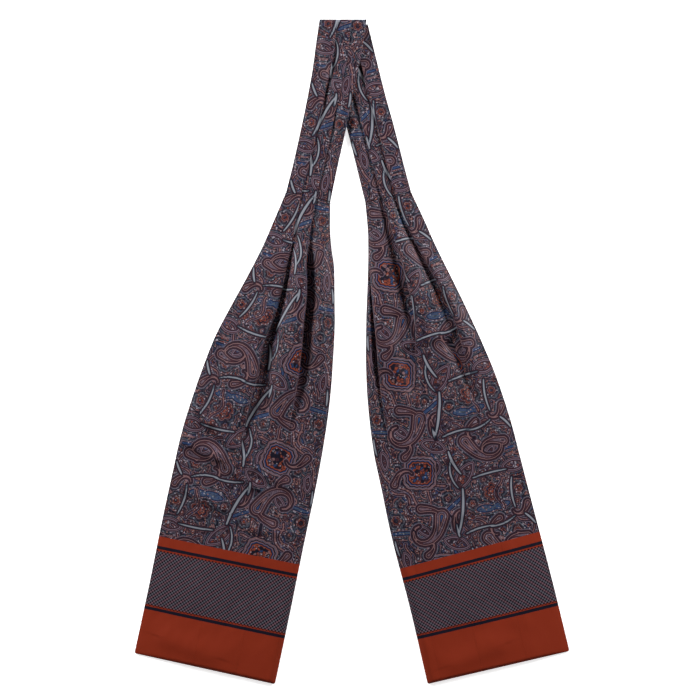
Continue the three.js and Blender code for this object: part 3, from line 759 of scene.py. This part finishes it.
class Shader:
    """Short calls that add nodes to a material"""

    def __init__(self, name):
        self.material = bpy.data.materials.new(name)
        self.material.use_nodes = True
        self.nodes, self.links = self.material.node_tree.nodes, self.material.node_tree.links
        self.nodes.clear()

    def add(self, kind, inputs=None, **settings):
        """A node with its settings and inputs, each a value or another node's output"""
        node = self.nodes.new("ShaderNode" + kind)
        for name, value in settings.items():
            setattr(node, name, value)
        for name, value in (inputs or {}).items():
            if isinstance(value, bpy.types.NodeSocket):
                self.links.new(value, node.inputs[name])
            else:
                node.inputs[name].default_value = value
        return node

    def math(self, operation, *values):
        """One arithmetic step"""
        return self.add("Math", dict(enumerate(values)), operation=operation).outputs[0]

    def mix(self, amount, below, above, blend="MIX"):
        """One colour over another"""
        node = self.add("Mix", data_type="RGBA", blend_type=blend)
        for name, value in (("Factor_Float", amount), ("A_Color", below), ("B_Color", above)):
            socket = next(s for s in node.inputs if s.identifier == name)
            if isinstance(value, bpy.types.NodeSocket):
                self.links.new(value, socket)
            else:
                socket.default_value = value
        return next(s for s in node.outputs if s.identifier == "Result_Color")

    def ramp(self, value, stops, interpolation="CONSTANT"):
        """Colours by value, from (place, colour with alpha) stops; gives colour and alpha"""
        node = self.add("ValToRGB", {"Fac": value})
        node.color_ramp.interpolation = interpolation
        elements = node.color_ramp.elements
        while len(elements) > 1:
            elements.remove(elements[-1])
        elements[0].position, elements[0].color = stops[0]
        for place, color in stops[1:]:
            elements.new(place).color = color
        return node.outputs["Color"], node.outputs["Alpha"]

    def above(self, value, limit):
        """1 where the value is more than the limit"""
        return self.math("GREATER_THAN", value, limit)

    def between(self, value, low, high):
        """1 where the value lies between two limits"""
        return self.math("MULTIPLY", self.above(value, low), self.math("LESS_THAN", value, high))

    def parts(self, attribute):
        """The three numbers of an attribute"""
        vector = self.add("Attribute", attribute_name=attribute).outputs["Vector"]
        return self.add("SeparateXYZ", {"Vector": vector}).outputs

    def cells(self, place, size, randomness=1.0, **settings):
        """The outputs of cells of about one size in the cloth's plane"""
        values = {"Vector": place, "Scale": 1 / size, "Randomness": randomness}
        return self.add("TexVoronoi", values, voronoi_dimensions="2D", **settings).outputs

    def pick(self, cells, channel):
        """A random number of each cell"""
        return self.add("SeparateColor", {"Color": cells["Color"]}).outputs[channel]

    def noise(self, place, scale, detail, dimensions="2D", **inputs):
        """Soft noise"""
        values = {"Vector": place, "Scale": scale, "Detail": detail, **inputs}
        return self.add("TexNoise", values, noise_dimensions=dimensions).outputs["Fac"]

    def spread(self, value, low, high):
        """The value from 0 to 1, spread between two others"""
        return self.add("MapRange", {"Value": value, "To Min": low, "To Max": high}).outputs[0]

    def surface(self, height, strength, distance, **inputs):
        """The finished material, with a bump; an input's name has _ for its spaces"""
        bump = self.add("Bump", {"Strength": strength, "Distance": distance, "Height": height})
        values = {name.replace("_", " "): value for name, value in inputs.items()}
        shading = self.add("BsdfPrincipled", {"Normal": bump.outputs["Normal"], **values})
        self.add("OutputMaterial", {"Surface": shading.outputs["BSDF"]})
        return self.material


# Colours of each kind of motif by distance from its outline, in millimetres: a colour runs up to
# its distance, from inside to outside
OUTLINES = {
    "boteh": [(-5.3, "blue"), (-4.6, "navy"), (-3.9, "rose"), (-3.3, "navy"), (-1.9, "fill"),
              (-1.3, "wine"), (-0.8, "navy"), (-0.1, "rose"), (0.7, "navy"), (1.2, "wine"),
              (1.9, "navy"), (2.4, "mauve")],
    "leaf": [(-2.2, "clear"), (-1.5, "wine"), (-0.9, "navy"), (-0.1, "mauve"), (0.7, "wine"),
             (1.2, "mauve"), (1.9, "navy")],
    "medal": [(-2.0, "clear"), (-1.2, "rust"), (-0.3, "navy"), (0.5, "blue"), (1.1, "rose"),
              (2.2, "navy"), (3.6, "fill"), (4.2, "rose"), (5.6, "shade")],
    "rose": [(-8.8, "rust"), (-7.8, "navy"), (-6.9, "rose"), (-5.8, "navy"), (-4.9, "rust"),
             (-2.4, "shade"), (-1.8, "rust"), (-1.1, "navy"), (-0.4, "rose"), (1.8, "shade"),
             (2.3, "slate")],
    "petal": [(-2.2, "slate"), (-1.4, "blue"), (-0.7, "slate"), (0.1, "blue"), (0.9, "navy"),
              (1.4, "mauve")],
    "stem": [(0.0, "silver"), (0.3, "slate"), (1.2, "navy"), (1.8, "wine")],
    "scroll": [(0.1, "rose"), (0.8, "navy"), (1.3, "slate")],
    "vine": [(0.0, "rose"), (0.5, "wine"), (1.1, "navy"), (1.7, "mauve"), (2.3, "navy")],
    "echo": [(2.6, "clear"), (3.2, "slate"), (3.9, "navy"), (5.0, "clear"), (5.5, "rose"),
             (6.2, "navy"), (7.4, "clear"), (8.0, "wine"), (8.7, "navy")],
}
LAYERS = (("motifs_fill", 2, "echo"), ("motifs_fine", 1, "scroll"), ("motifs_fill", 0, "petal"),
          ("motifs_fill", 1, "rose"), ("motifs_fine", 2, "vine"), ("motifs_large", 1, "leaf"),
          ("motifs_large", 2, "medal"), ("motifs_large", 0, "boteh"), ("motifs_fine", 0, "stem"))
CLEAR = (0.0, 0.0, 0.0, 0.0)
# Speckles of the ground in two kinds of area: shares of cells that take each colour
SPECKLES = {
    "warm": [(0.0, "ground"), (0.16, "wine"), (0.28, "rust"), (0.44, "mauve"), (0.58, "rose"),
             (0.76, "slate"), (0.86, "light")],
    "cool": [(0.0, "ground"), (0.14, "navy"), (0.22, "blue"), (0.44, "slate"), (0.62, "mauve"),
             (0.76, "wine"), (0.81, "rose"), (0.88, "light")],
    "dark": [(0.0, "navy"), (0.34, "ground"), (0.52, "wine"), (0.66, "blue"), (0.76, "mauve"),
             (0.86, "light"), (0.93, "rust")],
    "medal": [(0.0, "navy"), (0.3, "rust"), (0.62, "wine"), (0.78, "rose"), (0.88, "blue")],
}
SPECKLE_SIZE, MEDAL_SPECKLE_SIZE, SPECKLE_LINE = 2.8, 2.9, 0.09
# Areas of the ground: above these values of a noise the speckles change
ZONE_SIZE, ZONES = 15.0, [(0.5, "cool"), (0.58, "dark")]
# Dark gaps start past a share of a cell; gaps and beads cover what is below in part
BEAD_GAP, GAP_START, GAP_COVER = 1.9, 0.5, 0.45
BEAD_CELL, BEAD_SIZE, BEAD_COVER = 3.0, 0.62, 0.75
BEADS = [(0.0, "peach"), (0.10, "light"), (0.24, "silver"), (0.32, "blue"), (0.42, "clear")]
# Rings of a floret by distance from its middle; cells below a random value have none
FLORET_CELL, FLORET_REACH, FLORET_LEAST = 7.4, 0.55, 0.45
FLORETS = [(0.6, "silver"), (1.2, "rust"), (1.7, "navy"), (2.2, "rose"), (2.7, "ground")]
# Thin swirling lines of the ground, by the fraction of a noise between two of them
SWIRLS = [(0.0, "navy"), (0.16, "clear"), (0.44, "mauve"), (0.54, "clear"), (0.74, "wine"),
          (0.82, "clear")]
SWIRL_SIZE, SWIRL_LINES, SWIRL_BEND = 13.0, 11.0, 1.4
# The border from the hem upwards: each stripe's upper edge
BORDER = [(44.5, "hem_rust"), (47.3, "navy"), (49.6, "hem_rust"), (102.4, "clear"),
          (104.6, "hem_rust"), (107.4, "navy"), (116.6, "hem_rust")]
BORDER_SPAN = 130.0
BAND_FROM, BAND_TO, BAND_CELL = 49.6, 102.4, 1.7
# The band's pattern repeats after so many cells, counted from far outside the cloth; its dark
# squares reach past it by a share of a cell
BAND_CELLS, CELLS_BEFORE, BAND_PAST = 4.0, 800.0, 0.7
TONES, ROUGHNESS = (0.86, 1.14), (0.52, 0.66)
DISTANCE_SPAN = 16.0


# Colours that let some of the speckles through: what they are made of and how much they cover
SHADES = {"fill": ("mauve", 0.5), "shade": ("navy", 0.7)}


def palette(name):
    """A named colour of the print, linear, with its cover"""
    if name == "clear":
        return CLEAR
    name, cover = SHADES.get(name, (name, 1.0))
    return (*linear(getattr(sizes(), name)), cover)


def stops(rows):
    """Ramp stops from (start, colour) rows"""
    return [(start, palette(name)) for start, name in rows]


def stops_up_to(rows, span, zero=0.0):
    """Ramp stops for colours that each run up to their distance, clear beyond the last"""
    starts = [0.0] + [limit / span + zero for limit, _ in rows]
    return list(zip(starts, [palette(name) for _, name in rows] + [CLEAR]))


def speckles(shader, place, area, size=SPECKLE_SIZE):
    """Small random cells of colour with dark lines between them"""
    edge = shader.cells(place, size, feature="DISTANCE_TO_EDGE")["Distance"]
    color, _ = shader.ramp(shader.pick(shader.cells(place, size), 0), stops(SPECKLES[area]))
    return shader.mix(shader.math("LESS_THAN", edge, SPECKLE_LINE), color, palette("ground"))


def beads(shader, place, color):
    """Dark gaps and small light beads that break up lines and areas"""
    gap = shader.above(shader.cells(place, BEAD_GAP, 0.9)["Distance"], GAP_START)
    color = shader.mix(shader.math("MULTIPLY", gap, GAP_COVER), color, palette("navy"))
    bead = shader.cells(place, BEAD_CELL)
    dot, alpha = shader.ramp(shader.pick(bead, 2), stops(BEADS))
    near = shader.math("LESS_THAN", bead["Distance"], BEAD_SIZE / BEAD_CELL)
    cover = shader.math("MULTIPLY", alpha, BEAD_COVER)
    return shader.mix(shader.math("MULTIPLY", near, cover), color, dot)


def ground_print(shader, place):
    """Speckled ground with swirling lines and small round florets"""
    zone = shader.noise(place, 1 / ZONE_SIZE, 1.0)
    ground = speckles(shader, place, "warm")
    for least, area in ZONES:
        ground = shader.mix(shader.above(zone, least), ground, speckles(shader, place, area))
    noise = shader.noise(place, 1 / SWIRL_SIZE, 1.0, Distortion=SWIRL_BEND)
    phase = shader.math("FRACT", shader.math("MULTIPLY", noise, SWIRL_LINES))
    swirl, alpha = shader.ramp(phase, stops(SWIRLS))
    ground = shader.mix(alpha, ground, swirl)
    floret = shader.cells(place, FLORET_CELL, 0.8)
    share = shader.math("DIVIDE", floret["Distance"], FLORET_REACH)
    color, alpha = shader.ramp(share, stops_up_to(FLORETS, FLORET_CELL * FLORET_REACH))
    chosen = shader.above(shader.pick(floret, 1), FLORET_LEAST)
    return shader.mix(shader.math("MULTIPLY", alpha, chosen), ground, color)


def woven_band(shader, across, up):
    """The border's ground of diagonal stripes, and where its staggered dark squares lie"""
    count = CELLS_BEFORE
    for value in (across, up):
        cell = shader.math("FLOOR", shader.math("DIVIDE", value, BAND_CELL))
        count = shader.math("ADD", cell, count)
    diagonal = shader.math("MODULO", count, BAND_CELLS)
    ground = shader.mix(shader.above(diagonal, 1.5), palette("band_rose"), palette("band_grey"))
    return ground, shader.above(shader.math("MODULO", diagonal, 2.0), 0.5)


def printed_silk():
    """The one printed silk of every piece"""
    name = "paisley_silk"
    if name in bpy.data.materials:
        return bpy.data.materials[name]
    shader = Shader(name)
    place = shader.add("Attribute", attribute_name="cloth_place").outputs["Vector"]
    across, _, up = shader.parts("cloth_place")
    color = ground_print(shader, place)
    in_medal = shader.math("LESS_THAN", shader.parts("motifs_large")[2], 0.0)
    color = shader.mix(in_medal, color, speckles(shader, place, "medal", MEDAL_SPECKLE_SIZE))
    for layer, axis, kind in LAYERS:
        share = shader.math("MULTIPLY_ADD", shader.parts(layer)[axis], 1 / DISTANCE_SPAN, 0.5)
        if kind == "leaf":
            color = beads(shader, place, color)
        outline, alpha = shader.ramp(share, stops_up_to(OUTLINES[kind], DISTANCE_SPAN, 0.5))
        color = shader.mix(alpha, color, outline)
    ground, dark = woven_band(shader, across, up)
    color = shader.mix(shader.between(up, BAND_FROM, BAND_TO), color, ground)
    height = shader.math("DIVIDE", up, BORDER_SPAN)
    stripe, alpha = shader.ramp(height, stops_up_to(BORDER, BORDER_SPAN))
    color = shader.mix(alpha, color, stripe)
    past = BAND_PAST * BAND_CELL
    near_band = shader.between(up, BAND_FROM - past, BAND_TO + past)
    color = shader.mix(shader.math("MULTIPLY", near_band, dark), color, palette("band_dark"))
    tone = shader.spread(shader.noise(place, 2.2, 2.0), *TONES)
    twill = shader.add("TexWave", {"Vector": place, "Scale": 0.45, "Distortion": 0.6,
                                   "Detail Scale": 2.0}, bands_direction="DIAGONAL")
    return shader.surface(
        twill.outputs["Fac"], 0.12, 0.0001, Base_Color=shader.mix(1.0, color, tone, "MULTIPLY"),
        Roughness=shader.spread(shader.noise(place, 0.12, 3.0), *ROUGHNESS),
        Sheen_Weight=0.03, Sheen_Roughness=0.4, Specular_IOR_Level=0.09)


def plain_material(name, color, roughness, grain, glow=0.0):
    """A dull material with a little grain, for thread and the floor"""
    shader = Shader(name)
    place = shader.add("TexCoord").outputs["Object"]
    noise = shader.noise(place, grain, 3.0, "3D")
    tone = shader.mix(1.0, (*linear(color), 1.0), shader.spread(noise, 0.96, 1.02), "MULTIPLY")
    return shader.surface(
        noise, 0.1, 0.0002, Base_Color=tone, Roughness=roughness,
        Emission_Color=(1.0, 1.0, 1.0, 1.0), Emission_Strength=glow)


# The stitches' nodes and settings, and their links: a node's output, then a node's input
STITCH_NODES = [
    ("inputs", "NodeGroupInput", {}), ("outputs", "NodeGroupOutput", {}),
    ("curve", "GeometryNodeMeshToCurve", {}),
    ("spaced", "GeometryNodeResampleCurve", {"mode": "LENGTH"}),
    ("tangent", "GeometryNodeInputTangent", {}),
    ("turn", "FunctionNodeAlignRotationToVector", {"axis": "X"}),
    ("ball", "GeometryNodeMeshIcoSphere", {}), ("scale", "ShaderNodeCombineXYZ", {}),
    ("half", "ShaderNodeMath", {"operation": "MULTIPLY"}),
    ("shape", "GeometryNodeTransform", {}), ("instances", "GeometryNodeInstanceOnPoints", {}),
    ("real", "GeometryNodeRealizeInstances", {}), ("smooth", "GeometryNodeSetShadeSmooth", {}),
    ("dyed", "GeometryNodeSetMaterial", {}),
]
STITCH_LINKS = [
    ("inputs", "Seam", "curve", "Mesh"), ("curve", "Curve", "spaced", "Curve"),
    ("inputs", "Stitch length", "spaced", "Length"), ("inputs", "Stitch length", "half", 0),
    ("inputs", "Gap share", "half", 1), ("half", 0, "scale", "X"),
    ("inputs", "Thread thickness", "scale", "Y"), ("inputs", "Thread thickness", "scale", "Z"),
    ("ball", "Mesh", "shape", "Geometry"), ("scale", "Vector", "shape", "Scale"),
    ("spaced", "Curve", "instances", "Points"), ("shape", "Geometry", "instances", "Instance"),
    ("tangent", "Tangent", "turn", "Vector"), ("turn", "Rotation", "instances", "Rotation"),
    ("instances", "Instances", "real", "Geometry"), ("real", "Geometry", "smooth", "Geometry"),
    ("smooth", "Geometry", "dyed", "Geometry"), ("inputs", "Thread", "dyed", "Material"),
    ("dyed", "Geometry", "outputs", "Stitches"),
]


def stitch_tree():
    """Geometry Nodes tree that sets stitches along a line of points"""
    tree = bpy.data.node_groups.new("seam_stitches", "GeometryNodeTree")
    for name, way, kind in (
        ("Seam", "INPUT", "Geometry"), ("Stitch length", "INPUT", "Float"),
        ("Thread thickness", "INPUT", "Float"), ("Gap share", "INPUT", "Float"),
        ("Thread", "INPUT", "Material"), ("Stitches", "OUTPUT", "Geometry"),
    ):
        tree.interface.new_socket(name, in_out=way, socket_type=f"NodeSocket{kind}")
    nodes = {name: tree.nodes.new(kind) for name, kind, _ in STITCH_NODES}
    for name, _, settings in STITCH_NODES:
        for setting, value in settings.items():
            setattr(nodes[name], setting, value)
    nodes["ball"].inputs["Subdivisions"].default_value = 2
    for start, output, end, target in STITCH_LINKS:
        tree.links.new(nodes[start].outputs[output], nodes[end].inputs[target])
    return tree


def stitched(name, line):
    """A plain mesh of the stitches along a line of points in metres"""
    path = bpy.data.meshes.new(name + "_path")
    path.from_pydata(line, [(i, i + 1) for i in range(len(line) - 1)], [])
    holder = bpy.data.objects.new(name + "_path", path)
    bpy.context.collection.objects.link(holder)
    tree = bpy.data.node_groups.get("seam_stitches") or stitch_tree()
    thread = bpy.data.materials.get("sewing_thread") or plain_material(
        "sewing_thread", THREAD_COLOR, 0.6, 900.0)
    modifier = holder.modifiers.new("stitches", "NODES")
    modifier.node_group = tree
    values = {"Stitch length": sizes().stitch, "Thread thickness": sizes().thread / 2,
              "Gap share": STITCH_SHARE, "Thread": thread}
    for item in tree.interface.items_tree:
        if item.name in values and item.in_out == "INPUT":
            modifier[item.identifier] = values[item.name]
    evaluated = holder.evaluated_get(bpy.context.evaluated_depsgraph_get())
    mesh = bpy.data.meshes.new_from_object(evaluated)
    mesh.name = name
    mesh.materials.clear()
    mesh.materials.append(thread)
    mesh.polygons.foreach_set("material_index", np.zeros(len(mesh.polygons), np.int32))
    bpy.data.objects.remove(holder)
    piece = bpy.data.objects.new(name, mesh)
    bpy.context.collection.objects.link(piece)
    return piece


# Each blade's tables, which way it faces, its strips' columns and the seed of its unevenness
BLADES = {"left": (LEFT_ROWS, LEFT_CREASES, 1, (48, 30, 36), 11),
          "right": (RIGHT_ROWS, RIGHT_CREASES, -1, (34, 36, 32, 22), 21)}


def blade_cloth(side):
    """Rings and places on the cloth of one blade, in the object's frame"""
    points, cloth, keep = blade_rings(*BLADES[side])
    return place_blade(points, side), cloth, keep


class CRAVAT_OT_blades(bpy.types.Operator):
    """Makes the two blades of printed silk"""

    bl_idname = "cravat.blades"
    bl_label = "Blades"

    def execute(self, context):
        for side in ("left", "right"):
            points, cloth, keep = blade_cloth(side)
            piece = cloth_shell(f"blade_{side}", points, cloth, keep, keep, side)
            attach(piece, "root")
            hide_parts(f"blade_{side}_front", f"blade_{side}_back")
        return {"FINISHED"}


class CRAVAT_OT_neckband(bpy.types.Operator):
    """Makes the pleated neckband's two stretches"""

    bl_idname = "cravat.neckband"
    bl_label = "Neckband"

    def execute(self, context):
        for name, node, rings, side in (
            ("neckband_over", "neckband_upper", upper_band_rings, "left"),
            ("neckband_under", "neckband_lower", lower_band_rings, "right"),
        ):
            points, cloth, keep = rings()
            piece = cloth_shell(name, points, cloth, keep, keep + len(BAND_SIDES), side)
            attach(piece, "root")
            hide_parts(node)
        return {"FINISHED"}


class CRAVAT_OT_stitches(bpy.types.Operator):
    """Sews a line of stitches across each blade where the pleats are held"""

    bl_idname = "cravat.stitches"
    bl_label = "Neck stitches"

    def execute(self, context):
        for side in ("left", "right"):
            points, _, keep = blade_cloth(side)
            line = points[1, 2:keep - 2] + np.array([SHIFT_X, SHIFT_Y, THREAD_LIFT])
            piece = stitched(f"stitches_{side}", (line * MM).tolist())
            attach(piece, "root")
        return {"FINISHED"}


class CRAVAT_OT_stage(bpy.types.Operator):
    """Makes the floor, the lights and the camera"""

    bl_idname = "cravat.stage"
    bl_label = "Stage"

    def execute(self, context):
        bpy.ops.mesh.primitive_plane_add(size=FLOOR_WIDTH)
        floor = context.object
        floor.name = "floor"
        floor.data.materials.append(
            plain_material("pale_floor", FLOOR_COLOR, 0.9, 12.0, FLOOR_GLOW))
        for row in LAMPS:
            data = bpy.data.lights.new(row["name"], "AREA")
            data.size, data.energy = row["size"], getattr(sizes(), row["power"])
            lamp = bpy.data.objects.new(row["name"], data)
            context.collection.objects.link(lamp)
            lamp.location = row["place"]
            lamp.rotation_euler = (-lamp.location).to_track_quat("-Z", "Y").to_euler()
        world = bpy.data.worlds.new("studio")
        world.use_nodes = True
        background = world.node_tree.nodes["Background"]
        background.inputs["Color"].default_value = (1.0, 1.0, 1.0, 1.0)
        background.inputs["Strength"].default_value = WORLD_STRENGTH
        context.scene.world = world
        context.scene.view_settings.view_transform = "Standard"
        data = bpy.data.cameras.new("camera")
        data.sensor_width = SENSOR
        data.lens = SENSOR * CAMERA_HEIGHT / FRAME_WIDTH
        data.clip_end = CAMERA_REACH
        camera = bpy.data.objects.new("camera", data)
        context.collection.objects.link(camera)
        camera.location = (*CAMERA_AIM, CAMERA_HEIGHT)
        context.scene.camera = camera
        return {"FINISHED"}


class CRAVAT_PT_panel(bpy.types.Panel):
    """Lists the cravat's operators"""

    bl_idname = "CRAVAT_PT_panel"
    bl_label = "Silk cravat"
    bl_space_type = "VIEW_3D"
    bl_region_type = "UI"
    bl_category = "Cravat"

    def draw(self, context):
        for operator in OPERATORS:
            self.layout.operator(operator.bl_idname)
        for name in CravatSizes.__annotations__:
            self.layout.prop(context.scene.cravat, name)


OPERATORS = (CRAVAT_OT_blades, CRAVAT_OT_neckband, CRAVAT_OT_stitches, CRAVAT_OT_stage)
CLASSES = (CravatSizes, *OPERATORS, CRAVAT_PT_panel)


def register():
    """Adds the classes and the scene's sizes"""
    for each in CLASSES:
        bpy.utils.register_class(each)
    bpy.types.Scene.cravat = bpy.props.PointerProperty(type=CravatSizes)


def unregister():
    """Takes them out again"""
    del bpy.types.Scene.cravat
    for each in reversed(CLASSES):
        bpy.utils.unregister_class(each)


def main():
    """Makes every piece and the stage"""
    register()
    bpy.ops.cravat.blades()
    bpy.ops.cravat.neckband()
    bpy.ops.cravat.stitches()
    bpy.ops.cravat.stage()


if __name__ == "__main__":
    main()
